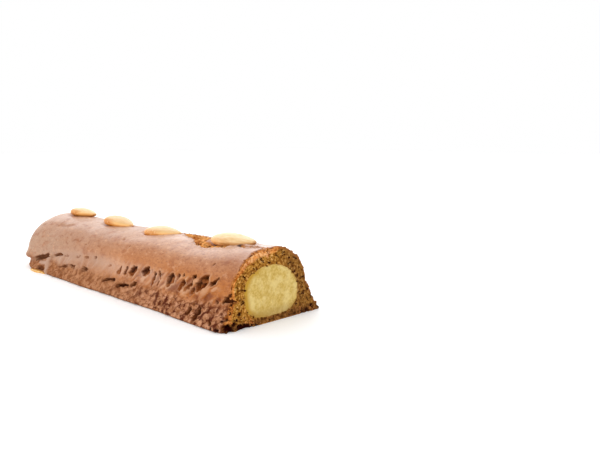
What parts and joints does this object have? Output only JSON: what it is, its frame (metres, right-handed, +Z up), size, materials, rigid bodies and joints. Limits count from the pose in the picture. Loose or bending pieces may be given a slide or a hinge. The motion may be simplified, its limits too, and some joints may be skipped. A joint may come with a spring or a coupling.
{
  "type": "filled speculaas bar",
  "caption": "Long spiced speculaas bar cut across at one end, with a domed glazed crust, a torn seam along its flanks, a log of almond paste inside and almonds on the crown.",
  "frame": {"origin": "middle of the bar's footprint on the table", "axes": "+X along the bar towards the cut face, +Z up from the table, -Y towards the flank with the open tears"},
  "size_m": [0.222, 0.0616, 0.0375],
  "materials": {
    "crust": "baked spiced dough: smooth egg-washed brown skin with a soft sheen on top, rough matt crumb on the foot and at the cut",
    "filling": "pale yellow, grainy, moist almond paste",
    "almond": "blanched almond, toasted golden and glazed, with fine lengthwise lines"
  },
  "bodies": {
    "root": {"crust": "crust", "filling": "filling", "almond_1": "almond", "almond_2": "almond", "almond_3": "almond", "almond_4": "almond"}
  },
  "joints": []
}
